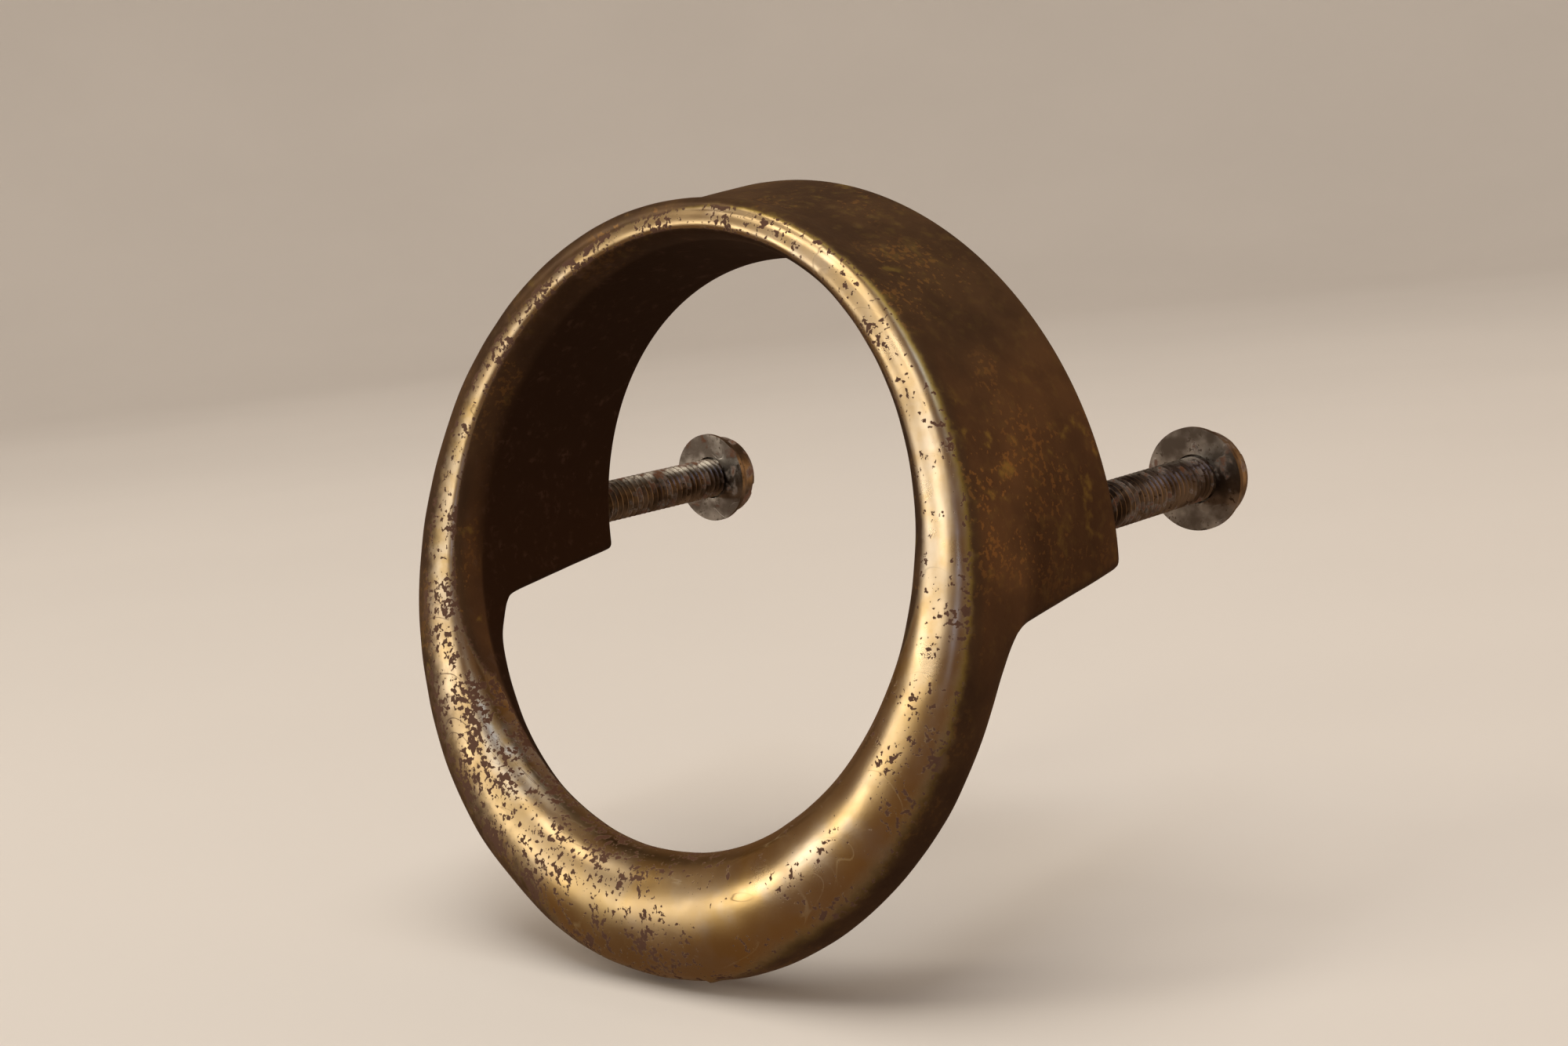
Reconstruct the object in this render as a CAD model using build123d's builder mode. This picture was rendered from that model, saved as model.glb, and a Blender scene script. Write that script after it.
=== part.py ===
from build123d import *
import os
from math import cos, radians, sin, sqrt

# A cast hooded ring pull for a drawer, in millimetres, with the screws that hold it.
# The outer face of the drawer front is the plane Y = 0. The pull stands out towards -Y,
# the screws come through from +Y, and +Z is up. The origin lies on that face, midway
# between the two screws.

# Ring, measured in its own leaning plane
ring_radius = 32.0  # outer edge
ring_width_top = 2.8  # outer edge to opening, at the top
ring_width_bottom = 10.5  # outer edge to opening, at the lowest point
ring_depth_top = 6.7  # front to back, all round the upper half
ring_depth_bottom = 5.2  # front to back, at the lowest point
ring_reach = 20.0  # drawer face to the ring's front, at the ring's centre
ring_tilt = 13.6  # degrees, the lower edge leaning away from the drawer
ring_squareness = 3.0  # exponent of the rounded section: 2 is an ellipse

# Collar, the half tube that carries the ring
collar_wall = 6.8  # at the drawer face
collar_drop_back = 1.4  # lower edges below the ring's axis, at the drawer face
collar_drop_front = 2.9  # the same, where they run into the ring
collar_inset = 0.3  # how far the collar's front end lies inside the ring's skin

# Fixings: slotted pan head machine screws, washers and the wood that they clamp
drawer_thickness = 18.0
screw_rise = 3.0  # screw axes above the ring's axis
thread_diameter = 4.0
screw_length = 25.0  # under the head
screw_end_chamfer = 0.6
hole_runout = 2.0  # tapped hole beyond the screw's end
head_diameter = 8.0
head_height = 2.4
head_rounding = 1.4
slot_width = 1.2
slot_depth = 1.0
slot_angles = {"left": 24.0, "right": -37.0}  # degrees, as the screws happen to stop
washer_diameter = 9.0
washer_thickness = 0.8
washer_clearance = 0.15  # round the thread

# Sizes that follow from those above
opening_radius = ring_radius - (ring_width_top + ring_width_bottom) / 2
opening_rise = (ring_width_bottom - ring_width_top) / 2
collar_inner_radius = ring_radius - collar_wall
thread_radius = thread_diameter / 2
seat_height = drawer_thickness + washer_thickness
engagement = screw_length - seat_height
collar_mid_radius = (ring_radius + collar_inner_radius) / 2
screw_offset = sqrt(collar_mid_radius**2 - screw_rise**2)
screw_places = {"left": -screw_offset, "right": screw_offset}

ring_front = Plane(
    origin=(0, -ring_reach, -screw_rise),
    x_dir=(1, 0, 0),
    z_dir=(0, -cos(radians(ring_tilt)), sin(radians(ring_tilt))),
)
drawer_face = Plane(origin=(0, 0, -screw_rise), x_dir=(1, 0, 0), z_dir=(0, -1, 0))


def signed_power(value, power):
    return abs(value) ** power * (1 if value > 0 else -1)


def rounded_section(half_width, half_depth, points=24):
    # One closed curve between a circle and a rectangle
    turns = [360 / points * (step + 0.5) for step in range(points)]
    power = 2 / ring_squareness
    Spline(
        [
            (
                half_width * signed_power(cos(radians(turn)), power),
                half_depth * signed_power(sin(radians(turn)), power),
            )
            for turn in turns
        ],
        periodic=True,
    )


def ring_section_plane(angle):
    # The plane across the ring at this angle from the top, with its origin in mid section
    across, up = sin(radians(angle)), cos(radians(angle))
    inner = opening_rise * up + sqrt(opening_radius**2 - (opening_rise * across) ** 2)
    taper = max(0.0, -up)
    half_depth = (ring_depth_top + (ring_depth_bottom - ring_depth_top) * taper) / 2
    middle = (ring_radius + inner) / 2
    plane = Plane(
        origin=ring_front.from_local_coords((middle * across, middle * up, -half_depth)),
        x_dir=ring_front.x_dir * across + ring_front.y_dir * up,
        z_dir=ring_front.x_dir * up - ring_front.y_dir * across,
    )
    return plane, (ring_radius - inner) / 2, half_depth


def hood_section(plane, outer_radius, inner_radius, inner_rise, drop):
    # Half a tube's end: an arch that ends on a level line below its centre
    with BuildSketch(plane) as section:
        Circle(outer_radius)
        with Locations((0, inner_rise)):
            Circle(inner_radius, mode=Mode.SUBTRACT)
        with Locations((0, -drop)):
            Rectangle(
                3 * outer_radius,
                outer_radius,
                align=(Align.CENTER, Align.MAX),
                mode=Mode.SUBTRACT,
            )
    return section.sketch


# Half the ring is lofted past both ends, cut at the middle and mirrored, so that it is
# smooth at the top and at the bottom
section_step = 15
with BuildPart() as ring:
    for angle in range(-section_step, 180 + 2 * section_step, section_step):
        section_plane, half_width, half_depth = ring_section_plane(angle)
        with BuildSketch(section_plane):
            with BuildLine():
                rounded_section(half_width, half_depth)
            make_face()
    loft()
    split(bisect_by=Plane.YZ, keep=Keep.TOP)
    mirror(about=Plane.YZ)

collar_ends = [
    hood_section(drawer_face, ring_radius, collar_inner_radius, 0, collar_drop_back),
    hood_section(
        ring_front.offset(-ring_depth_top / 2),
        ring_radius - collar_inset,
        opening_radius + collar_inset,
        opening_rise,
        collar_drop_front,
    ),
]

with BuildPart() as pull_body:
    loft(collar_ends)
    add(ring.part)
    with BuildSketch(Plane.XZ):
        with Locations(*[(place, 0) for place in screw_places.values()]):
            Circle(thread_radius)
    extrude(amount=engagement + hole_runout, mode=Mode.SUBTRACT)
pull_body.part.label = "pull_body"


def make_screw(side):
    place = screw_places[side]
    end = -engagement
    top = seat_height + head_height
    head_radius = head_diameter / 2
    with BuildPart() as screw:
        with BuildSketch():
            with BuildLine():
                Polyline(
                    (place, top),
                    (place, end),
                    (place + thread_radius - screw_end_chamfer, end),
                    (place + thread_radius, end + screw_end_chamfer),
                    (place + thread_radius, seat_height),
                    (place + head_radius, seat_height),
                    (place + head_radius, top - head_rounding),
                )
                TangentArc(
                    (place + head_radius, top - head_rounding),
                    (place + head_radius - head_rounding, top),
                    tangent=(0, 1),
                )
                Line((place + head_radius - head_rounding, top), (place, top))
            make_face()
        revolve(axis=Axis((place, 0, 0), (0, 1, 0)))
        with BuildSketch(Plane(origin=(place, top, 0), x_dir=(1, 0, 0), z_dir=(0, 1, 0))):
            Rectangle(2 * head_diameter, slot_width, rotation=slot_angles[side])
        extrude(amount=-slot_depth, mode=Mode.SUBTRACT)
    screw.part.label = f"{side}_screw"
    return screw.part


def make_washer(side):
    seat = Plane(
        origin=(screw_places[side], drawer_thickness, 0),
        x_dir=(1, 0, 0),
        z_dir=(0, 1, 0),
    )
    with BuildPart() as washer:
        with BuildSketch(seat):
            Circle(washer_diameter / 2)
            Circle(thread_radius + washer_clearance, mode=Mode.SUBTRACT)
        extrude(amount=washer_thickness)
    washer.part.label = f"{side}_washer"
    return washer.part


pieces = [pull_body.part]
for side in screw_places:
    pieces.append(make_screw(side))
    pieces.append(make_washer(side))

os.makedirs("parts", exist_ok=True)
for piece in pieces:
    export_step(piece, f"parts/{piece.label}.step")
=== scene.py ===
from math import atan2, cos, degrees, exp, hypot, pi, radians, sin, sqrt

import bmesh
import bpy
from mathutils import Matrix, Vector, noise


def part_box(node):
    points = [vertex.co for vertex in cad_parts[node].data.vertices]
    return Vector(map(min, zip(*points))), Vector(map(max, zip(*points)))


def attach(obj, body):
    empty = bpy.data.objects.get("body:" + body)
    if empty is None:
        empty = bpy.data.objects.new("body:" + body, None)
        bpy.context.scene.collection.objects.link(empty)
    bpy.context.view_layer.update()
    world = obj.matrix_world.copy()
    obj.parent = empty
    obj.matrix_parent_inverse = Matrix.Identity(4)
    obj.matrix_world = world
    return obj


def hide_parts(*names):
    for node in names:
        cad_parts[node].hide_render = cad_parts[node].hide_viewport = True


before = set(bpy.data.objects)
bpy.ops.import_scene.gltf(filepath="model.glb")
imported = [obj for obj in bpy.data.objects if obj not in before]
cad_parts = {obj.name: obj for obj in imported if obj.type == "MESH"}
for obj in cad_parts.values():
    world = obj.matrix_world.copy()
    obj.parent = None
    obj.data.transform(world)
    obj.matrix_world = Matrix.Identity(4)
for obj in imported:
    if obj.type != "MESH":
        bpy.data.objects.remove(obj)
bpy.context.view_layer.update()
print("frame loaded:", len(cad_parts), "nodes")


# small helpers


def smoothStep(low, high, value):
    share = min(1.0, max(0.0, (value - low) / (high - low)))
    return share * share * (3 - 2 * share)


def mix(first, second, share):
    return first + (second - first) * share


def signedPower(value, power):
    return abs(value) ** power * (1 if value > 0 else -1)


def spinOutline(mesh, outline, axis, steps, closed=False):
    # turns an outline of vertices once round an axis through the origin
    pairs = zip(outline, outline[1:] + outline[:1] if closed else outline[1:])
    edges = [mesh.edges.new(pair) for pair in pairs]
    bmesh.ops.spin(
        mesh,
        geom=outline + edges,
        cent=(0, 0, 0),
        axis=axis,
        dvec=(0, 0, 0),
        angle=2 * pi,
        steps=steps,
        use_merge=True,
        use_normal_flip=False,
        use_duplicate=False,
    )


def makePiece(name, mesh, material):
    mesh.name = name
    piece = bpy.data.objects.new(name, mesh)
    bpy.context.scene.collection.objects.link(piece)
    mesh.materials.append(material)
    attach(piece, "root")
    return piece


def bakeModifiers(mesh, *settings):
    # runs modifiers over a mesh and gives back the finished mesh
    carrier = bpy.data.objects.new("carrier", mesh)
    bpy.context.scene.collection.objects.link(carrier)
    for kind, values in settings:
        modifier = carrier.modifiers.new(kind.lower(), kind)
        for key, value in values.items():
            setattr(modifier, key, value)
    graph = bpy.context.evaluated_depsgraph_get()
    finished = bpy.data.meshes.new_from_object(carrier.evaluated_get(graph))
    bpy.data.objects.remove(carrier)
    return finished


# building shader trees


def fillInputs(tree, made, inputs):
    # a socket is linked, anything else is set as the value
    for key, value in inputs.items():
        if isinstance(value, bpy.types.NodeSocket):
            tree.links.new(value, made.inputs[key])
        else:
            made.inputs[key].default_value = value


def addNode(tree, kind, inputs, **settings):
    made = tree.nodes.new(kind)
    for key, value in settings.items():
        setattr(made, key, value)
    fillInputs(tree, made, inputs)
    return made


def noiseValue(tree, inputs):
    return addNode(tree, "ShaderNodeTexNoise", inputs).outputs[0]


def mathNode(tree, operation, *values):
    made = addNode(tree, "ShaderNodeMath", dict(enumerate(values)), operation=operation)
    return made.outputs[0]


def mixColour(tree, factor, first, second):
    made = addNode(tree, "ShaderNodeMix", {0: factor, 6: first, 7: second}, data_type="RGBA")
    return made.outputs[2]


def mixValue(tree, factor, first, second):
    made = addNode(tree, "ShaderNodeMix", {0: factor, 2: first, 3: second}, data_type="FLOAT")
    return made.outputs[0]


def rampValue(tree, value, low, high):
    # smooth step from low to high
    inputs = {"Value": value, "From Min": low, "From Max": high}
    return addNode(tree, "ShaderNodeMapRange", inputs, interpolation_type="SMOOTHSTEP").outputs[0]


def attributeValue(tree, name):
    return addNode(tree, "ShaderNodeAttribute", {}, attribute_name=name).outputs["Fac"]


def newGroup(name, inputs, outputs):
    tree = bpy.data.node_groups.new(name, "ShaderNodeTree")
    for label, kind, value in inputs:
        socket = tree.interface.new_socket(label, in_out="INPUT", socket_type=kind)
        if value is not None:
            socket.default_value = value
    for label, kind in outputs:
        tree.interface.new_socket(label, in_out="OUTPUT", socket_type=kind)
    return tree, tree.nodes.new("NodeGroupInput").outputs, tree.nodes.new("NodeGroupOutput").inputs


def useGroup(tree, group, inputs):
    made = tree.nodes.new("ShaderNodeGroup")
    made.node_tree = group
    fillInputs(tree, made, inputs)
    return made.outputs


def newMaterial(name):
    material = bpy.data.materials.new(name)
    material.use_nodes = True
    tree = material.node_tree
    tree.nodes.clear()
    shader = tree.nodes.new("ShaderNodeBsdfPrincipled")
    output = tree.nodes.new("ShaderNodeOutputMaterial")
    tree.links.new(shader.outputs[0], output.inputs["Surface"])
    place = addNode(tree, "ShaderNodeTexCoord", {}).outputs["Object"]
    return material, tree, shader, place


# effects that several finishes share

numberSocket = "NodeSocketFloat"
vectorSocket = "NodeSocketVector"
fleckPattern = {
    "detail": 2.0,
    "roughness": 0.58,
    "gathering": 0.60,  # how strongly the clusters pull flecks together
    "crowding": 0.2,  # how far Density moves the level
    "threshold": 0.93,
}
hairlinePattern = {
    "runs": [((0.3, 0.9, 0.4), 14.0), ((1.1, -0.5, 1.9), 20.0)],  # direction, stretch
    "thickness": 0.012,
    "patchScale": 0.45,
    "patchFrom": 0.55,
    "patchTo": 0.68,
}


def makeToneGroup():
    # soft clouds of tone, 0 to 1
    tree, given, result = newGroup(
        "cloudyTone",
        [
            ("Vector", vectorSocket, None),
            ("Scale", numberSocket, 100.0),
            ("Detail", numberSocket, 4.0),
            ("Low", numberSocket, 0.35),
            ("High", numberSocket, 0.65),
        ],
        [("Mask", numberSocket)],
    )
    clouds = noiseValue(tree, {name: given[name] for name in ("Vector", "Scale", "Detail")})
    tree.links.new(rampValue(tree, clouds, given["Low"], given["High"]), result["Mask"])
    return tree


def makeFleckGroup():
    # ragged dark flecks that gather in clusters: Density runs from none to crowded
    tree, given, result = newGroup(
        "raggedFlecks",
        [
            ("Vector", vectorSocket, None),
            ("Scale", numberSocket, 1500.0),
            ("Cluster", numberSocket, 250.0),
            ("Density", numberSocket, 0.5),
            ("Edge", numberSocket, 0.03),
        ],
        [("Mask", numberSocket)],
    )
    pattern = fleckPattern
    everywhere = {"Vector": given["Vector"], "Detail": pattern["detail"]}
    fineInputs = {"Scale": given["Scale"], "Roughness": pattern["roughness"]}
    fine = noiseValue(tree, everywhere | fineInputs)
    cluster = noiseValue(tree, everywhere | {"Scale": given["Cluster"]})
    gathered = mathNode(tree, "MULTIPLY", cluster, pattern["gathering"])
    reach = pattern["crowding"]
    crowded = mathNode(tree, "MULTIPLY_ADD", given["Density"], reach, -reach / 2)
    level = mathNode(tree, "ADD", mathNode(tree, "ADD", fine, gathered), crowded)
    top = mathNode(tree, "ADD", given["Edge"], pattern["threshold"])
    tree.links.new(rampValue(tree, level, pattern["threshold"], top), result["Mask"])
    return tree


def makeScratchGroup():
    # sparse hairline scratches in two directions
    tree, given, result = newGroup(
        "hairlines",
        [
            ("Vector", vectorSocket, None),
            ("Scale", numberSocket, 120.0),
            ("Amount", numberSocket, 0.5),
        ],
        [("Mask", numberSocket)],
    )
    pattern = hairlinePattern
    patchScale = mathNode(tree, "MULTIPLY", given["Scale"], pattern["patchScale"])
    runs = []
    for turn, stretch in pattern["runs"]:
        turning = {"Vector": given["Vector"], "Rotation": turn, "Scale": (1.0, stretch, 1.0)}
        turned = addNode(tree, "ShaderNodeMapping", turning).outputs[0]
        lines = noiseValue(tree, {"Vector": turned, "Scale": given["Scale"], "Detail": 1.0})
        away = mathNode(tree, "ABSOLUTE", mathNode(tree, "SUBTRACT", lines, 0.5))
        line = mathNode(tree, "SUBTRACT", 1.0, rampValue(tree, away, 0.0, pattern["thickness"]))
        patches = noiseValue(tree, {"Vector": turned, "Scale": patchScale})
        patches = rampValue(tree, patches, pattern["patchFrom"], pattern["patchTo"])
        runs.append(mathNode(tree, "MULTIPLY", line, patches))
    total = mathNode(tree, "MAXIMUM", *runs)
    tree.links.new(mathNode(tree, "MULTIPLY", total, given["Amount"]), result["Mask"])
    return tree


cloudyTone = makeToneGroup()
raggedFlecks = makeFleckGroup()
hairlines = makeScratchGroup()


def toneMaker(tree, place):
    # clouds of tone for one finish
    def tone(scale, low, high, detail=4.0):
        inputs = {"Vector": place, "Scale": scale, "Detail": detail, "Low": low, "High": high}
        return useGroup(tree, cloudyTone, inputs)["Mask"]

    return tone


print("shared effects made")


# aged brass

agedBrass = {
    "patina": (0.118, 0.072, 0.042, 1),
    "patinaLight": (0.185, 0.112, 0.058, 1),
    # nearly black patina with painted shade, for inside the hood, the back, the underside and the
    # lower corners
    "patinaAndShadeDark": (0.050, 0.024, 0.012, 1),
    "speck": (0.42, 0.23, 0.075, 1),
    "olive": (0.42, 0.31, 0.08, 1),
    "worn": (0.64, 0.49, 0.28, 1),
    "wornPale": (0.66, 0.55, 0.40, 1),
    "wornGold": (0.66, 0.47, 0.20, 1),
    "wornOlive": (0.50, 0.38, 0.19, 1),
    # silvery metal, partly a painted cool reflection and a paler painted highlight tint
    "silverAndReflection": (0.80, 0.78, 0.72, 1),
    "fleck": (0.105, 0.048, 0.027, 1),
    # clouds of tone: scale, where they start, where they are full, detail
    "patinaClouds": (160.0, 0.38, 0.66),
    "goldenGrain": (620.0, 0.56, 0.72, 6.0),
    "goldenDrift": (95.0, 0.44, 0.62),
    "speckDrift": (85.0, 0.42, 0.62),
    "goldDrift": (130.0, 0.46, 0.66),
    "paleDrift": (210.0, 0.48, 0.70),
    "satinDrift": (180.0, 0.30, 0.62),
    "silverGrain": (520.0, 0.34, 0.62, 6.0),
    "edgeGrain": (900.0, 0.25, 0.75, 6.0),
    "glossDrift": (300.0, 0.3, 0.7),
    "castGrain": (2200.0, 0.2, 0.8, 5.0),
    # how much of each effect shows
    "goldenShare": 0.75,
    "speckShare": 0.65,
    "satinShare": 0.6,
    "edgeRaggedness": 0.45,
    "rubbedRange": (0.22, 0.88),
    "fringeRange": (0.0, 0.38),
    # flecks, blots and scratches in the worn metal
    "specks": {"Scale": 2100.0, "Cluster": 150.0, "Density": 0.68, "Edge": 0.06},
    "flecks": {"Scale": 2050.0, "Cluster": 330.0},
    "fleckEdgeCrowding": 0.45,
    "blots": {"Scale": 943.0, "Cluster": 165.0},
    "blotThinning": 0.42,
    "scratchScale": 110.0,
    "scratchShare": 0.8,
    # sheen: each pair runs from the first mask's none to its full
    "metalPatinaToWorn": (0.75, 1.0),
    "fleckMetalLoss": 0.8,
    "roughOpenToSheltered": (0.40, 0.62),
    "roughWorn": (0.27, 0.35),
    "roughSatin": 0.05,
    "roughFleck": 0.62,
    "grainPatinaToWorn": (0.5, 0.12),
    "fleckDepth": 0.4,
    "bump": {"Strength": 0.25, "Distance": 0.00006},
}


def makeAgedBrass():
    look = agedBrass
    material, tree, shader, place = newMaterial("agedBrass")
    tone = toneMaker(tree, place)
    wear = attributeValue(tree, "wear")
    flecksHere = attributeValue(tree, "flecks")
    patinaAndShade = attributeValue(tree, "patinaAndShade")
    satin = attributeValue(tree, "satin")

    def multiply(first, second):
        return mathNode(tree, "MULTIPLY", first, second)

    def fleckMask(inputs):
        return useGroup(tree, raggedFlecks, {"Vector": place} | inputs)["Mask"]

    # patina: brown, mottled lighter and golden, nearly black where nothing rubs it, with painted shade
    # inside the hood, behind, underneath and at the lower corners
    patina = mixColour(tree, tone(*look["patinaClouds"]), look["patina"], look["patinaLight"])
    golden = multiply(tone(*look["goldenGrain"]), tone(*look["goldenDrift"]))
    patina = mixColour(tree, multiply(golden, look["goldenShare"]), patina, look["olive"])
    specks = multiply(fleckMask(look["specks"]), tone(*look["speckDrift"]))
    patina = mixColour(tree, multiply(specks, look["speckShare"]), patina, look["speck"])
    # painted shade: the unrubbed patina turns nearly black inside the hood, behind, underneath and at
    # the lower corners
    patina = mixColour(tree, patinaAndShade, patina, look["patinaAndShadeDark"])

    # worn metal: gold with paler and yellower drifts
    worn = mixColour(tree, tone(*look["goldDrift"]), look["worn"], look["wornGold"])
    worn = mixColour(tree, tone(*look["paleDrift"]), worn, look["wornPale"])
    handled = multiply(satin, tone(*look["satinDrift"]))
    worn = mixColour(tree, multiply(handled, look["satinShare"]), worn, look["wornOlive"])

    # silvery, partly lighter worn metal: a painted cool reflection inside the lower left and a paler
    # painted highlight tint along both sides
    silverAndReflectionMix = multiply(attributeValue(tree, "silverAndReflection"), tone(*look["silverGrain"]))
    worn = mixColour(tree, silverAndReflectionMix, worn, look["silverAndReflection"])

    # the rub fades out in a ragged edge, olive along the outside of the ring
    ragged = mathNode(tree, "SUBTRACT", tone(*look["edgeGrain"]), 0.5)
    raggedness = multiply(flecksHere, look["edgeRaggedness"])
    edge = mathNode(tree, "MULTIPLY_ADD", ragged, raggedness, wear)
    rubbed = rampValue(tree, edge, *look["rubbedRange"])
    fringe = rampValue(tree, edge, *look["fringeRange"])
    green = multiply(fringe, attributeValue(tree, "outside"))
    base = mixColour(tree, green, patina, look["olive"])
    base = mixColour(tree, rubbed, base, worn)

    # flecks where the old skin still clings, thickest along the edge of the rub
    crowding = multiply(mathNode(tree, "SUBTRACT", 1.0, wear), look["fleckEdgeCrowding"])
    crowding = mathNode(tree, "ADD", flecksHere, crowding)
    flecks = fleckMask(look["flecks"] | {"Density": crowding})
    thinned = mathNode(tree, "SUBTRACT", flecksHere, look["blotThinning"])
    blots = fleckMask(look["blots"] | {"Density": thinned})
    scratchInputs = {
        "Vector": place,
        "Scale": look["scratchScale"],
        "Amount": multiply(flecksHere, look["scratchShare"]),
    }
    scratches = useGroup(tree, hairlines, scratchInputs)["Mask"]
    marks = mathNode(tree, "MAXIMUM", mathNode(tree, "MAXIMUM", flecks, blots), scratches)
    marks = multiply(marks, fringe)
    base = mixColour(tree, marks, base, look["fleck"])

    # sheen: dull patina, satin worn metal, flecks duller than either
    bare = mathNode(tree, "SUBTRACT", 1.0, multiply(marks, look["fleckMetalLoss"]))
    metal = multiply(mixValue(tree, rubbed, *look["metalPatinaToWorn"]), bare)
    dull = mixValue(tree, patinaAndShade, *look["roughOpenToSheltered"])
    gloss = mixValue(tree, tone(*look["glossDrift"]), *look["roughWorn"])
    gloss = mathNode(tree, "ADD", gloss, multiply(satin, look["roughSatin"]))
    rough = mixValue(tree, rubbed, dull, gloss)
    rough = mixValue(tree, marks, rough, look["roughFleck"])

    # height: cast grain under everything, flecks stand a little below the worn metal
    grainShare = mixValue(tree, rubbed, *look["grainPatinaToWorn"])
    height = multiply(tone(*look["castGrain"]), grainShare)
    height = mathNode(tree, "SUBTRACT", height, multiply(marks, look["fleckDepth"]))
    bump = addNode(tree, "ShaderNodeBump", look["bump"] | {"Height": height})
    tree.links.new(base, shader.inputs["Base Color"])
    tree.links.new(metal, shader.inputs["Metallic"])
    tree.links.new(rough, shader.inputs["Roughness"])
    tree.links.new(bump.outputs[0], shader.inputs["Normal"])
    return material


# one casting: a bead bent into a ring, with a hood behind its upper half

pullBody = {
    "openingRadius": 0.02535,
    "openingRise": 0.00385,  # of the opening's middle over the ring's
    "reach": 0.020,  # of the ring's middle from the drawer
    "lean": 13.6,
    "depthTop": 0.0067,
    "depthBottom": 0.0052,
    "noseTop": 0.0031,
    "noseBottom": 0.0040,
    "squarenessTop": 3.0,  # 2 would be a plain ellipse
    "squarenessBottom": 2.25,
    "crownShift": 0.16,  # how far the crown is set inwards, in half widths
    "sideShift": 0.20,  # more than that on the left, less on the right
    "collarWall": 0.0068,
    "hoodEnd": 95.8,  # degrees from the top at the ring
    "hoodEndBack": 92.6,  # the same at the drawer
    "hoodSteps": 39,
    "steps": 144,
    "frontSteps": 12,
    # backs of the bead's section, across and forward, from the inside of the ring to the outside
    "hoodBack": [
        (-1, -0.4), (-1, -0.8), (-1, -1), (-0.33, -1),
        (0.33, -1), (1, -1), (1, -0.8), (1, -0.4),
    ],
    "barBack": [
        (-0.93, -0.36), (-0.84, -0.72), (-0.66, -0.95), (-0.28, -1),
        (0.24, -1), (0.66, -0.94), (0.88, -0.72), (0.98, -0.38),
    ],
    "junctionFade": 5.0,
    "edgeRounding": 0.00018,
    "blankRadius": 4.0,  # of the round bar before it is bent to shape
    "sharpAngle": 50,
    "crease": 0.8,
    "creaseStart": 4,  # full this many degrees past the hood's end
    "creaseFade": (125, 160),
    "longestEdge": 0.006,
    "longEdgeCuts": 5,
}

pullLow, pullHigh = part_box("pull_body")
ringRadius = pullHigh.x
ringCentre = Vector((0, -pullBody["reach"], pullHigh.z - ringRadius))
lean = radians(pullBody["lean"])
ringUp = Vector((0, sin(lean), cos(lean)))
ringAxis = Vector((0, -cos(lean), sin(lean)))  # out of the ring's front
hoodEnd = radians(pullBody["hoodEnd"])


def sectionAt(angle):
    # opening's edge, half width, rounded nose and flat back of the bead at this angle from the top
    rise, radius = pullBody["openingRise"], pullBody["openingRadius"]
    inner = rise * cos(angle) + sqrt(radius**2 - (rise * sin(angle)) ** 2)
    taper = max(0.0, -cos(angle))
    depth = mix(pullBody["depthTop"], pullBody["depthBottom"], taper)
    nose = mix(pullBody["noseTop"], pullBody["noseBottom"], taper)
    return inner, (ringRadius - inner) / 2, nose, depth - nose


def beadPoint(angle, across, forward):
    inner, halfWidth, nose, back = sectionAt(angle)
    radial = inner + halfWidth * (1 + across)
    inPlane = Vector((1, 0, 0)) * sin(angle) + ringUp * cos(angle)
    depth = nose * (1 - forward) if forward > 0 else nose - back * forward
    return ringCentre + inPlane * radial - ringAxis * depth


def nosePoint(angle, turn):
    # turn runs from the outside of the ring over the front to the inside
    taper = max(0.0, -cos(angle))
    rounder = smoothStep(0.9, -0.9, cos(angle))
    power = 2 / mix(pullBody["squarenessTop"], pullBody["squarenessBottom"], rounder)
    across, forward = signedPower(cos(turn), power), signedPower(sin(turn), power)
    shift = (pullBody["crownShift"] - pullBody["sideShift"] * sin(angle)) * (1 - taper)
    shift *= 1 - across**2
    return beadPoint(angle, across - shift, forward)


def drawerPoint(angle, across):
    turned = angle * pullBody["hoodEndBack"] / pullBody["hoodEnd"]
    radial = ringRadius - pullBody["collarWall"] * (1 - across) / 2
    return Vector((radial * sin(turned), 0, ringCentre.z + radial * cos(turned)))


# the casting's hand-finished surface, and the masks that its finish and its painted shade and
# reflection follow

castForm = {
    "waves": [(120, 1.0, (0, 0, 0)), (330, 0.5, (7, 3, 5))],  # scale, share, offset
    "waveDepth": 0.00007,
    "flatDepth": 0.00022,
    "flatAt": (-147, 9),  # middle and spread round the ring, degrees from the top
    "swellHeight": 0.0006,
    "swellAt": (-18, 52),
    "swellLength": 0.024,
    "nubHeight": 0.0004,
    "nubRadius": 0.00055,
    "nubBack": 0.0028,
    "nubOffset": (0.0062, 0, 0.0006),
    "flatFacing": (0.2, 0.8),  # from none to full as the surface turns outwards
    "swellFacing": (0.3, 0.95),
    "flatMargin": 0.0004,  # the face against the drawer stays flat
}

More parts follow.
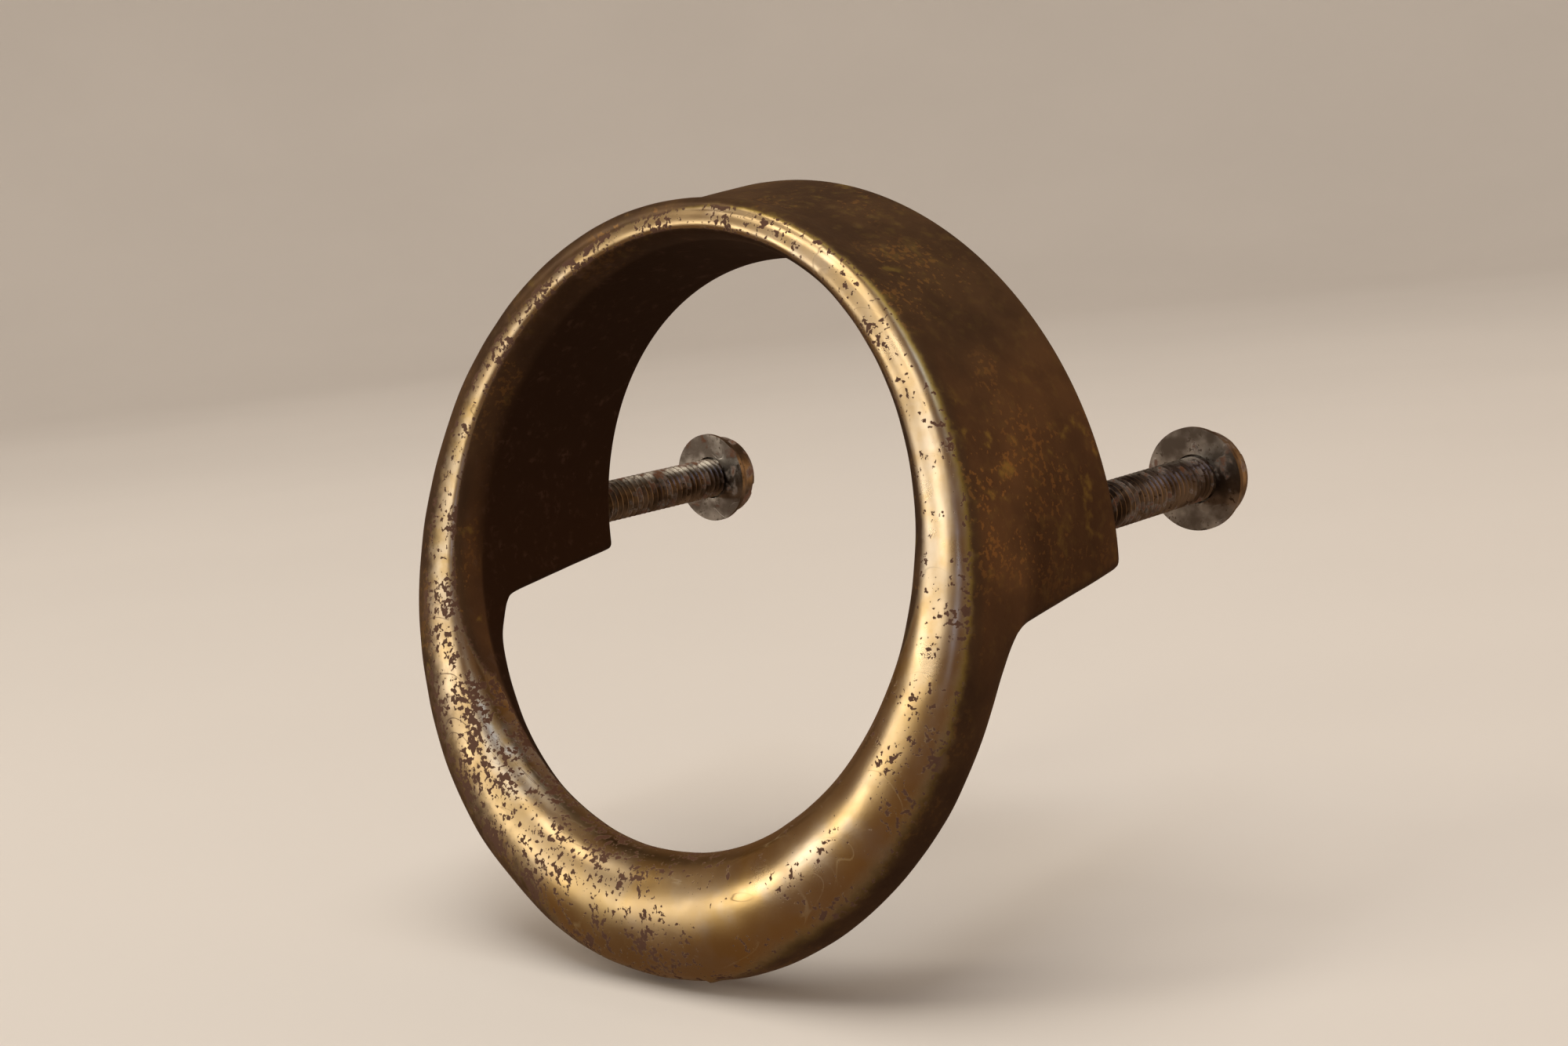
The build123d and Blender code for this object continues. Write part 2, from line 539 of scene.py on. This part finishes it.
wearAndPaintedLight = {
    # stretches of the ring, from none to full, in degrees from the top
    "lowRange": (88, 125),
    "bottomRange": (150, 172),
    "lowLeftStart": (-92, -118),
    "lowLeftEnd": (-180, -150),
    "leftRange": (0.35, -0.65),  # by the sine of the angle
    "oliveSide": (-10, 25),
    "satinSide": (35, -40),
    # ways the surface faces, from none to full: outwards is 1, inwards is -1
    "outerFacing": (-0.2, 0.2),
    "insideFacing": (0.30, -0.45),
    "boreFacing": (0.0, -0.6),
    "cornerFacing": (0.2, 1.0),
    "oliveFacing": (0.1, 0.6),
    "reflectionFacing": (-0.1, -0.6),
    "backFacing": (0.2, 0.8),  # towards the drawer
    "downFacing": (-0.2, -0.8),
    # where the rub ends, in degrees round the bead from its crown, positive outwards
    "outRight": 45,
    "outLeft": 7,
    "outBottom": 34,
    "outLowLeft": 5,
    "outHumps": [(45, 40, 6), (-8, 28, -11), (70, 40, -7)],  # middle, spread, height
    "inHood": -44,
    "inBar": -100,
    "inHumps": [(80, 30, 30)],
    "inSoftness": 12,
    "softHood": 14,
    "softBar": 30,
    "softHumps": [(70, 40, 9)],
    # where it fades with depth behind the ring's front
    "fadeBeforeNoseEnd": 0.0001,
    "fadeOutside": 0.0042,
    "fadeOutsideBar": 0.0018,
    "fadeInsideLength": 0.0006,
    "fadeOutsideLength": 0.0028,
    # how thickly the flecks lie
    "flecks": 0.36,
    "flecksLeft": 0.36,
    "flecksLowLeft": 0.20,
    "flecksBottom": 0.22,
    "flecksTop": (6, 32, 0.24),
    "flecksMost": 1.1,
    # dark places: unrubbed patina darkened further as painted shade inside the hood, in the bore,
    # behind, underneath, at the lower corners and on the cheek
    "hoodRange": (78, 100),
    "hoodInside": (0.0008, 0.0040),  # depth behind the ring's front
    "cheekRange": (0.0055, 0.009),
    "boreLength": 0.0004,
    "behindShare": 0.85,
    "underShare": 0.7,
    "cornersAt": (128, 34, 0.6),
    "cheekAt": (90, 22, 0.65),
    # olive, silvery and satin places; the silvery ones are partly a painted cool reflection and a
    # paler painted highlight tint
    "oliveLeast": 0.25,
    "reflectionPatchAt": (-130, 15, 1.0),
    "paleHighlightSidesAt": (80, 38, 0.32),
    "satinLowLeft": 0.9,
}


def hump(angle, middle, spread, height=1.0):
    # full height at the middle angle, dying away over the spread, round the ring
    away = (angle - middle + 180) % 360 - 180
    return height * exp(-((away / spread) ** 2))


def humps(angle, several):
    return sum(hump(angle, *one) for one in several)


def placeOnBead(point, normal):
    # angle clockwise from the top as the hand sees it, depth behind the ring's front,
    # how far the surface faces outwards, and its turn from the crown, positive outwards
    offset = point - ringCentre
    across, up = offset.x, offset.dot(ringUp)
    outward = (normal.x * across + normal.dot(ringUp) * up) / max(1e-6, hypot(across, up))
    turned = degrees(atan2(outward, normal.dot(ringAxis)))
    return degrees(atan2(across, up)), -offset.dot(ringAxis), outward, turned


def castLift(point, angle, outward):
    # slow unevenness, a flat on the lower left, a swell on the hood and a nub at the bottom
    form = castForm
    waves = sum(share * noise.noise(point * scale + Vector(o)) for scale, share, o in form["waves"])
    flat = hump(angle, *form["flatAt"]) * smoothStep(*form["flatFacing"], outward)
    swell = sin(pi * min(1.0, max(0.0, -point.y / form["swellLength"])))
    swell *= smoothStep(*form["swellFacing"], outward) * hump(angle, *form["swellAt"])
    nubMiddle = ringCentre - ringUp * ringRadius - ringAxis * form["nubBack"]
    nubMiddle += Vector(form["nubOffset"])
    nub = exp(-(((point - nubMiddle).length / form["nubRadius"]) ** 2))
    lift = waves * form["waveDepth"] - form["flatDepth"] * flat
    return lift + form["swellHeight"] * swell + form["nubHeight"] * nub


def finishAndPaintedLightMasks(angle, depth, outward, turned, normal):
    wornAndPaintedLight = wearAndPaintedLight
    low = smoothStep(*wornAndPaintedLight["lowRange"], abs(angle))
    bottom = smoothStep(*wornAndPaintedLight["bottomRange"], abs(angle))
    lowLeft = smoothStep(*wornAndPaintedLight["lowLeftStart"], angle) * smoothStep(*wornAndPaintedLight["lowLeftEnd"], angle)
    left = smoothStep(*wornAndPaintedLight["leftRange"], sin(radians(angle)))
    outer = smoothStep(*wornAndPaintedLight["outerFacing"], outward)
    nose = mix(pullBody["noseTop"], pullBody["noseBottom"], max(0.0, -cos(radians(angle))))

    # how far the hand has rubbed it, out from the crown and in from the crown
    outLimit = mix(wornAndPaintedLight["outRight"], wornAndPaintedLight["outLeft"], left)
    outLimit += wornAndPaintedLight["outBottom"] * bottom + wornAndPaintedLight["outLowLeft"] * lowLeft
    outLimit += humps(angle, wornAndPaintedLight["outHumps"])
    inLimit = mix(wornAndPaintedLight["inHood"], wornAndPaintedLight["inBar"], low) + humps(angle, wornAndPaintedLight["inHumps"])
    soft = mix(wornAndPaintedLight["softHood"], wornAndPaintedLight["softBar"], low) + humps(angle, wornAndPaintedLight["softHumps"])
    fadeInside = nose - wornAndPaintedLight["fadeBeforeNoseEnd"]
    fadeOutside = wornAndPaintedLight["fadeOutside"] - wornAndPaintedLight["fadeOutsideBar"] * low
    fadeFrom = mix(fadeInside, fadeOutside, outer)
    fadeLength = mix(wornAndPaintedLight["fadeInsideLength"], wornAndPaintedLight["fadeOutsideLength"], outer)
    wear = smoothStep(outLimit + soft, outLimit - soft, turned)
    wear *= smoothStep(inLimit - wornAndPaintedLight["inSoftness"], inLimit + wornAndPaintedLight["inSoftness"], turned)
    wear *= 1 - smoothStep(fadeFrom, fadeFrom + fadeLength, depth)

    flecks = wornAndPaintedLight["flecks"] + wornAndPaintedLight["flecksLeft"] * left + wornAndPaintedLight["flecksLowLeft"] * lowLeft
    flecks += wornAndPaintedLight["flecksBottom"] * bottom + hump(angle, *wornAndPaintedLight["flecksTop"])

    # places that nothing rubs, darkened as painted shade: inside the hood, its back and underside, the
    # lower corners
    hooded = 1 - smoothStep(*wornAndPaintedLight["hoodRange"], abs(angle))
    inside = smoothStep(*wornAndPaintedLight["insideFacing"], outward)
    inside *= smoothStep(*wornAndPaintedLight["hoodInside"], depth) * hooded
    bore = smoothStep(*wornAndPaintedLight["boreFacing"], outward)
    bore *= smoothStep(nose, nose + wornAndPaintedLight["boreLength"], depth)
    behind = wornAndPaintedLight["behindShare"] * smoothStep(*wornAndPaintedLight["backFacing"], normal.y)
    under = wornAndPaintedLight["underShare"] * smoothStep(*wornAndPaintedLight["downFacing"], normal.z) * (1 - low)
    corners = hump(angle, *wornAndPaintedLight["cornersAt"]) * smoothStep(*wornAndPaintedLight["cornerFacing"], outward)
    cheek = hump(angle, *wornAndPaintedLight["cheekAt"]) * smoothStep(*wornAndPaintedLight["cheekRange"], depth)

    greenSide = smoothStep(*wornAndPaintedLight["oliveSide"], angle) * (1 - low)
    outside = mix(wornAndPaintedLight["oliveLeast"], 1.0, greenSide)
    outside *= smoothStep(*wornAndPaintedLight["oliveFacing"], outward)
    # a painted cool reflection inside the lower left, and a paler painted highlight tint at both sides
    reflectionPatch = hump(angle, *wornAndPaintedLight["reflectionPatchAt"])
    reflectionPatch *= smoothStep(*wornAndPaintedLight["reflectionFacing"], outward)
    satinTop = smoothStep(*wornAndPaintedLight["satinSide"], angle) * (1 - low)
    return {
        "wear": wear,
        "flecks": min(wornAndPaintedLight["flecksMost"], flecks),
        # painted shade: unrubbed patina darkened inside the hood, in the bore, behind, underneath, at
        # the lower corners and on the cheek
        "patinaAndShade": max(inside, bore, behind, under, corners, cheek),
        "outside": outside,
        "silverAndReflection": max(reflectionPatch, hump(abs(angle), *wornAndPaintedLight["paleHighlightSidesAt"])),
        "satin": max(satinTop, bottom, wornAndPaintedLight["satinLowLeft"] * lowLeft),
    }


def roughenPull(mesh):
    masks = []
    for corner, normal in zip(mesh.vertices, [v.normal.copy() for v in mesh.vertices]):
        point = corner.co.copy()
        angle, depth, outward, turned = placeOnBead(point, normal)
        masks.append(finishAndPaintedLightMasks(angle, depth, outward, turned, normal))
        if point.y < -castForm["flatMargin"]:
            corner.co = point + normal * castLift(point, angle, outward)
    for name in masks[0]:
        values = [mask[name] for mask in masks]
        mesh.attributes.new(name, "FLOAT", "POINT").data.foreach_set("value", values)


# the casting's mesh


def makePullBlank():
    # a round bar, its section a bull nose in front and square behind
    turns = [pi * step / pullBody["frontSteps"] for step in range(pullBody["frontSteps"] + 1)]
    front = [(cos(turn), sin(turn)) for turn in turns]
    mesh = bmesh.new()
    placeLayer = mesh.verts.layers.int.new("place")
    hoodLayer = mesh.verts.layers.int.new("hood")
    corners = []
    for index, (across, forward) in enumerate(front + pullBody["hoodBack"]):
        corner = mesh.verts.new((0, -forward, pullBody["blankRadius"] + across))
        corner[placeLayer] = index
        corners.append(corner)
    spinOutline(mesh, corners, (0, 1, 0), pullBody["steps"], closed=True)
    bmesh.ops.recalc_face_normals(mesh, faces=mesh.faces)
    return mesh, placeLayer, hoodLayer, len(front)


def makePullBody(material):
    mesh, placeLayer, hoodLayer, frontCount = makePullBlank()
    blankEnd = 2 * pi * pullBody["hoodSteps"] / pullBody["steps"]

    # the hood is drawn out of the back, over the upper half
    def inHood(face):
        middle = face.calc_center_median()
        return middle.y > 0.999 and abs(atan2(middle.x, middle.z)) < blankEnd

    strip = [f for f in mesh.faces if inHood(f)]
    drawn = bmesh.ops.extrude_face_region(mesh, geom=strip)
    bmesh.ops.delete(mesh, geom=strip, context="FACES")
    for made in drawn["geom"]:
        if isinstance(made, bmesh.types.BMVert):
            made[hoodLayer] = 1

    fade = radians(pullBody["junctionFade"])
    creases = mesh.edges.layers.float.new("crease_edge")
    turnOf = {}
    for corner in mesh.verts:
        blank = atan2(corner.co.x, corner.co.z)
        size = abs(blank)
        if size <= blankEnd:
            turn = size * hoodEnd / blankEnd
        else:
            turn = hoodEnd + (size - blankEnd) * (pi - hoodEnd) / (pi - blankEnd)
        angle = turn if blank > 0 else -turn
        turnOf[corner] = angle
        across = hypot(corner.co.x, corner.co.z) - pullBody["blankRadius"]
        forward = -corner.co.y
        if corner[hoodLayer]:
            corner.co = drawerPoint(angle, across)
        elif corner[placeLayer] < frontCount:
            corner.co = nosePoint(angle, pi * corner[placeLayer] / pullBody["frontSteps"])
        else:
            start = beadPoint(angle, across, 0)
            end = drawerPoint(angle, across)
            back = sectionAt(angle)[3]
            inHoodPoint = start.lerp(end, -forward * back / (end - start).length)
            barAcross, barForward = pullBody["barBack"][corner[placeLayer] - frontCount]
            freePoint = beadPoint(angle, barAcross, barForward)
            free = smoothStep(0, fade, turn - hoodEnd)
            corner.co = inHoodPoint.lerp(freePoint, free)

    # a crisp line runs down the inside of the free bar, where its back is cut away
    inner = frontCount - 1
    creaseFull = hoodEnd + radians(pullBody["creaseStart"])
    for edge in mesh.edges:
        if all(v[placeLayer] == inner and not v[hoodLayer] for v in edge.verts):
            turn = min(abs(turnOf[v]) for v in edge.verts)
            crisp = smoothStep(hoodEnd, creaseFull, turn)
            crisp *= 1 - smoothStep(*pullBody["creaseFade"], degrees(turn))
            edge[creases] = pullBody["crease"] * crisp

    # the hood's corners are lightly rounded
    sharpAngle = radians(pullBody["sharpAngle"])
    paired = [e for e in mesh.edges if len(e.link_faces) == 2]
    sharp = [e for e in paired if e.calc_face_angle(0) > sharpAngle]
    bmesh.ops.bevel(
        mesh,
        geom=[e for e in sharp if any(v[hoodLayer] for v in e.verts) or onJunction(e, turnOf)],
        offset=pullBody["edgeRounding"],
        offset_type="OFFSET",
        affect="EDGES",
        segments=2,
        profile=0.5,
        material=-1,
        clamp_overlap=True,
    )
    paired = [e for e in mesh.edges if len(e.link_faces) == 2]
    long = [e for e in paired if e.calc_length() > pullBody["longestEdge"]]
    bmesh.ops.subdivide_edges(mesh, edges=long, cuts=pullBody["longEdgeCuts"], use_grid_fill=True)
    bmesh.ops.recalc_face_normals(mesh, faces=mesh.faces)

    cage = bpy.data.meshes.new("pullCage")
    mesh.to_mesh(cage)
    mesh.free()
    finished = bakeModifiers(cage, ("SUBSURF", {"levels": 2, "render_levels": 2}))
    roughenPull(finished)
    finished.shade_smooth()
    piece = makePiece("pullCasting", finished, material)
    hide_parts("pull_body")


def onJunction(edge, turnOf):
    # where the hood's lower edges meet the back of the free bar
    return all(abs(abs(turnOf[v]) - hoodEnd) < 0.001 for v in edge.verts)


# the two slotted screws and their washers

screwSteel = {
    "clean": (0.52, 0.50, 0.46),
    "tarnish": (0.20, 0.175, 0.15, 1),
    "rust": (0.16, 0.060, 0.022, 1),
    "finishes": {"screwSteel": (1.0, 0.52), "washerSteel": (1.15, 0.56)},  # brightness, rust's start
    "tarnishDrift": (420.0, 0.35, 0.65),
    "rustScale": 750.0,
    "rustSpread": 0.14,
    "rustDetail": 7.0,
    "rustShare": 0.9,
    "specks": {"Scale": 2600.0, "Cluster": 500.0, "Density": 0.5},
    "toolMarks": {"Scale": 260.0, "Amount": 0.8},
    "toolMarkDepth": 0.6,
    "rustHeight": 0.8,
    "rustMetalLoss": 0.9,
    "roughCleanToRust": (0.34, 0.75),
    "bump": {"Strength": 0.4, "Distance": 0.00005},
}


def makeOldSteel(name):
    look = screwSteel
    brightness, rustLow = look["finishes"][name]
    material, tree, shader, place = newMaterial(name)
    tone = toneMaker(tree, place)
    clean = tuple(c * brightness for c in look["clean"]) + (1,)
    base = mixColour(tree, tone(*look["tarnishDrift"]), clean, look["tarnish"])
    rust = tone(look["rustScale"], rustLow, rustLow + look["rustSpread"], look["rustDetail"])
    rust = mathNode(tree, "MULTIPLY", rust, look["rustShare"])
    base = mixColour(tree, rust, base, look["rust"])
    specks = useGroup(tree, raggedFlecks, {"Vector": place} | look["specks"])["Mask"]
    base = mixColour(tree, specks, base, look["tarnish"])
    marks = useGroup(tree, hairlines, {"Vector": place} | look["toolMarks"])["Mask"]
    pitted = mathNode(tree, "MULTIPLY", marks, -look["toolMarkDepth"])
    height = mathNode(tree, "MULTIPLY_ADD", rust, look["rustHeight"], pitted)
    bump = addNode(tree, "ShaderNodeBump", look["bump"] | {"Height": height})
    rusted = mathNode(tree, "MULTIPLY", rust, look["rustMetalLoss"])
    rough = mixValue(tree, rust, *look["roughCleanToRust"])
    tree.links.new(base, shader.inputs["Base Color"])
    tree.links.new(mathNode(tree, "SUBTRACT", 1.0, rusted), shader.inputs["Metallic"])
    tree.links.new(rough, shader.inputs["Roughness"])
    tree.links.new(bump.outputs[0], shader.inputs["Normal"])
    return material


fixings = {
    "pitch": 0.0007,
    "threadRadius": 0.002,
    "threadDepth": 0.00043,
    "tooth": [(0, 0), (0, 0.14), (1, 0.44), (1, 0.56), (0, 0.86), (0, 1.0)],  # shares of depth, pitch
    "turnSteps": 28,
    "startChamfer": 0.0006,
    "threadIntoHead": 0.0002,
    "headHeight": 0.0024,
    "headRounding": 0.0014,
    "headSteps": 64,
    "domeSteps": 6,
    "edgeSoftening": 0.0001,
    "slotWidth": 0.0012,
    "slotDepth": 0.001,
    "slotTurns": {"left": 24.0, "right": -37.0},
    "smallestEdge": 0.000002,
    "washerBore": 0.00215,
    "washerRolling": 0.0002,
    "washerSteps": 72,
    "smoothAngle": 32,
}


def makeThread(axisPoint, start, end):
    # one tooth's outline wound up the shank, then trimmed square at both ends
    pitch, radius = fixings["pitch"], fixings["threadRadius"]
    turns = int((end - start) / pitch) + 3
    mesh = bmesh.new()
    corners = []
    for height, along in fixings["tooth"]:
        reach = radius - fixings["threadDepth"] * (1 - height)
        corners.append(mesh.verts.new((reach, start - pitch + along * pitch, 0)))
    edges = [mesh.edges.new(pair) for pair in zip(corners, corners[1:])]
    bmesh.ops.spin(
        mesh,
        geom=corners + edges,
        cent=(0, 0, 0),
        axis=(0, 1, 0),
        dvec=(0, pitch / fixings["turnSteps"], 0),
        angle=2 * pi * turns,
        steps=turns * fixings["turnSteps"],
        use_merge=False,
        use_normal_flip=False,
        use_duplicate=False,
    )
    bmesh.ops.remove_doubles(mesh, verts=mesh.verts, dist=pitch * 0.01)
    for level, side in ((start, -1), (end, 1)):
        bmesh.ops.bisect_plane(
            mesh,
            geom=mesh.verts[:] + mesh.edges[:] + mesh.faces[:],
            plane_co=(0, level, 0),
            plane_no=(0, side, 0),
            clear_outer=True,
        )
    bmesh.ops.holes_fill(mesh, edges=[e for e in mesh.edges if e.is_boundary])
    for corner in mesh.verts:
        reach = hypot(corner.co.x, corner.co.z)
        allowed = radius - fixings["startChamfer"] + max(0.0, corner.co.y - start)
        if reach > allowed:
            corner.co.x *= allowed / reach
            corner.co.z *= allowed / reach
    bmesh.ops.recalc_face_normals(mesh, faces=mesh.faces)
    bmesh.ops.translate(mesh, verts=mesh.verts, vec=axisPoint)
    return mesh


def makeHead(axisPoint, seat, radius, slotTurn):
    top = seat + fixings["headHeight"]
    rounding = fixings["headRounding"]
    outline = [(0, seat), (radius, seat), (radius, top - rounding)]
    for step in range(1, fixings["domeSteps"] + 1):
        turn = pi / 2 * step / fixings["domeSteps"]
        outline.append((radius - rounding * (1 - cos(turn)), top - rounding * (1 - sin(turn))))
    outline.append((0, top))
    mesh = bmesh.new()
    corners = [mesh.verts.new((r, y, 0)) for r, y in outline]
    spinOutline(mesh, corners, (0, 1, 0), fixings["headSteps"])
    bmesh.ops.remove_doubles(mesh, verts=mesh.verts, dist=1e-6)
    bmesh.ops.recalc_face_normals(mesh, faces=mesh.faces)
    bmesh.ops.translate(mesh, verts=mesh.verts, vec=axisPoint)
    head = bpy.data.meshes.new("head")
    mesh.to_mesh(head)
    mesh.free()

    # a bar across the top cuts the slot, then every edge is softened
    cutter = bmesh.new()
    bmesh.ops.create_cube(cutter, size=1)
    size = Matrix.Diagonal((4 * radius, 2 * fixings["slotDepth"], fixings["slotWidth"], 1))
    place = Matrix.Translation(axisPoint + Vector((0, top, 0)))
    place = place @ Matrix.Rotation(radians(slotTurn), 4, "Y")
    bmesh.ops.transform(cutter, matrix=place @ size, verts=cutter.verts)
    cutterMesh = bpy.data.meshes.new("cutter")
    cutter.to_mesh(cutterMesh)
    cutter.free()
    cutterPiece = bpy.data.objects.new("cutter", cutterMesh)
    bpy.context.scene.collection.objects.link(cutterPiece)
    cut = {"operation": "DIFFERENCE", "object": cutterPiece, "solver": "EXACT"}
    soften = {"width": fixings["edgeSoftening"], "segments": 2, "limit_method": "ANGLE"}
    soften["angle_limit"] = radians(35)
    slotted = bakeModifiers(head, ("BOOLEAN", cut), ("BEVEL", soften))
    bpy.data.objects.remove(cutterPiece)
    return slotted


def finishFixing(mesh, node, pieceName, material):
    finished = bpy.data.meshes.new(node)
    mesh.to_mesh(finished)
    mesh.free()
    piece = makePiece(pieceName, finished, material)
    finished.shade_smooth()
    finished.set_sharp_from_angle(angle=radians(fixings["smoothAngle"]))
    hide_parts(node)


def makeScrew(side, material):
    node = side + "_screw"
    low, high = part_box(node)
    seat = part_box(side + "_washer")[1].y
    middle = (low + high) / 2
    axisPoint = Vector((middle.x, 0, middle.z))
    headRadius = (high.x - low.x) / 2
    mesh = makeThread(axisPoint, low.y, seat + fixings["threadIntoHead"])
    mesh.from_mesh(makeHead(axisPoint, seat, headRadius, fixings["slotTurns"][side]))
    bmesh.ops.dissolve_degenerate(mesh, edges=mesh.edges, dist=fixings["smallestEdge"])
    finishFixing(mesh, node, side + "SlottedScrew", material)


def makeWasher(side, material):
    node = side + "_washer"
    low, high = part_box(node)
    middle = (low + high) / 2
    outer = (high.x - low.x) / 2
    inner = fixings["washerBore"]
    rolled = fixings["washerRolling"]
    outline = [
        (inner, low.y),
        (inner, high.y - rolled),
        (inner + rolled, high.y),
        (outer - 1.6 * rolled, high.y),
        (outer - 0.4 * rolled, high.y - rolled),
        (outer, high.y - 2 * rolled),
        (outer, low.y),
    ]
    mesh = bmesh.new()
    corners = [mesh.verts.new((r, y, 0)) for r, y in outline]
    spinOutline(mesh, corners, (0, 1, 0), fixings["washerSteps"], closed=True)
    bmesh.ops.recalc_face_normals(mesh, faces=mesh.faces)
    bmesh.ops.translate(mesh, verts=mesh.verts, vec=(middle.x, 0, middle.z))
    finishFixing(mesh, node, side + "PlainWasher", material)


makePullBody(makeAgedBrass())
print("pull body made")
steel = makeOldSteel("screwSteel")
washerSteel = makeOldSteel("washerSteel")
for side in ("left", "right"):
    makeScrew(side, steel)
    makeWasher(side, washerSteel)
print("screws and washers made")


# floor, lights and view

studio = {
    "floorGap": 0.0004,
    "floorRadius": 0.9,
    "sweepRadius": 0.6,
    "wallHeight": 0.9,
    "bendSteps": 12,
    "sweepSteps": 96,
    "floorColour": (0.72, 0.69, 0.65, 1),
    "deeperFloor": (0.6984, 0.6693, 0.6305, 1),
    "floorClouds": (6.0, 0.3, 0.7),
    "floorRoughness": 0.85,
    "floorShine": 0.2,
    "worldColour": (0.21, 0.115, 0.062, 1),
    "worldStrength": 0.70,
    "lights": [
        # name, azimuth, elevation, distance, width, height, watts, colour, seen in reflections
        ("keyLow", -46, 6, 0.90, 0.18, 0.16, 0.50, (1.0, 0.92, 0.80), True),
        ("keyMiddle", -29, 17, 0.90, 0.18, 0.22, 0.48, (1.0, 0.92, 0.80), True),
        ("keyHigh", -17, 32, 0.90, 0.20, 0.24, 0.46, (1.0, 0.90, 0.74), True),
        ("keyTop", -38, 46, 0.90, 0.24, 0.26, 0.90, (1.0, 0.90, 0.74), True),
        ("coolFill", 12, 12, 0.80, 0.05, 0.16, 0.10, (0.42, 0.58, 1.0), True),
        ("coolTop", 38, 56, 0.80, 0.22, 0.22, 0.30, (0.66, 0.80, 1.0), True),
        ("skyPanel", 60, 82, 0.80, 0.34, 0.34, 0.34, (1.0, 0.92, 0.78), True),
        ("warmBounce", 140, 5, 0.50, 0.50, 0.50, 0.20, (1.0, 0.46, 0.14), True),
        ("floorLamp", 0, 84, 1.40, 1.20, 1.20, 15.0, (1.0, 0.95, 0.88), False),
    ],
}


def makeSweep():
    # floor that curves up into a plain wall all round
    material, tree, shader, place = newMaterial("paleFloor")
    clouds = toneMaker(tree, place)(*studio["floorClouds"])
    base = mixColour(tree, clouds, studio["floorColour"], studio["deeperFloor"])
    sheen = {"Roughness": studio["floorRoughness"], "Specular IOR Level": studio["floorShine"]}
    fillInputs(tree, shader, {"Base Color": base} | sheen)
    level = pullLow.z - studio["floorGap"]
    radius, bend, height = studio["floorRadius"], studio["sweepRadius"], studio["wallHeight"]
    outline = [(0, level), (radius, level)]
    for step in range(1, studio["bendSteps"] + 1):
        turn = pi / 2 * step / studio["bendSteps"]
        outline.append((radius + bend * sin(turn), level + bend * (1 - cos(turn))))
    outline.append((radius + bend, level + bend + height))
    mesh = bmesh.new()
    corners = [mesh.verts.new((r, 0, z)) for r, z in outline]
    spinOutline(mesh, corners, (0, 0, 1), studio["sweepSteps"])
    bmesh.ops.remove_doubles(mesh, verts=mesh.verts, dist=1e-5)
    finished = bpy.data.meshes.new("paleSweep")
    mesh.to_mesh(finished)
    mesh.free()
    finished.shade_smooth()
    finished.materials.append(material)
    sweep = bpy.data.objects.new("paleSweep", finished)
    bpy.context.scene.collection.objects.link(sweep)
    sweep.visible_glossy = False


def directionOf(azimuth, elevation):
    a, e = radians(azimuth), radians(elevation)
    return Vector((sin(a) * cos(e), -cos(a) * cos(e), sin(e)))


def makeLights():
    for name, azimuth, elevation, distance, width, height, watts, colour, mirrored in studio["lights"]:
        data = bpy.data.lights.new(name, "AREA")
        data.shape = "RECTANGLE"
        data.size, data.size_y = width, height
        data.energy, data.color = watts, colour
        light = bpy.data.objects.new(name, data)
        back = directionOf(azimuth, elevation)
        light.location = ringCentre + back * distance
        light.rotation_mode = "QUATERNION"
        light.rotation_quaternion = (-back).to_track_quat("-Z", "Y")
        light.visible_camera = False
        light.visible_glossy = mirrored
        bpy.context.scene.collection.objects.link(light)


def makeWorld():
    world = bpy.data.worlds.new("studioWorld")
    world.use_nodes = True
    background = world.node_tree.nodes["Background"]
    background.inputs["Color"].default_value = studio["worldColour"]
    background.inputs["Strength"].default_value = studio["worldStrength"]
    bpy.context.scene.world = world


camera = {
    "azimuth": 41.65,
    "elevation": 8.07,
    "roll": -5.91,
    "distance": 0.18546,
    "lens": 49.97,
    "sensor": 36.0,
    "nearest": 0.01,
    "aim": (0.00303, -0.00672, 0.00010),
}


def makeCamera():
    data = bpy.data.cameras.new("viewCamera")
    data.lens, data.sensor_width = camera["lens"], camera["sensor"]
    data.clip_start = camera["nearest"]
    view = bpy.data.objects.new("viewCamera", data)
    bpy.context.scene.collection.objects.link(view)
    back = directionOf(camera["azimuth"], camera["elevation"])
    level = Vector((-back.y, back.x, 0)).normalized()
    up = back.cross(level)
    roll = radians(camera["roll"])
    right = level * cos(roll) + up * sin(roll)
    turned = Matrix((right, back.cross(right), back)).transposed().to_4x4()
    place = Matrix.Translation(Vector(camera["aim"]) + back * camera["distance"])
    view.matrix_world = place @ turned
    bpy.context.scene.camera = view


makeSweep()
makeLights()
makeWorld()
makeCamera()
bpy.context.scene.view_settings.view_transform = "Standard"
print("studio made")
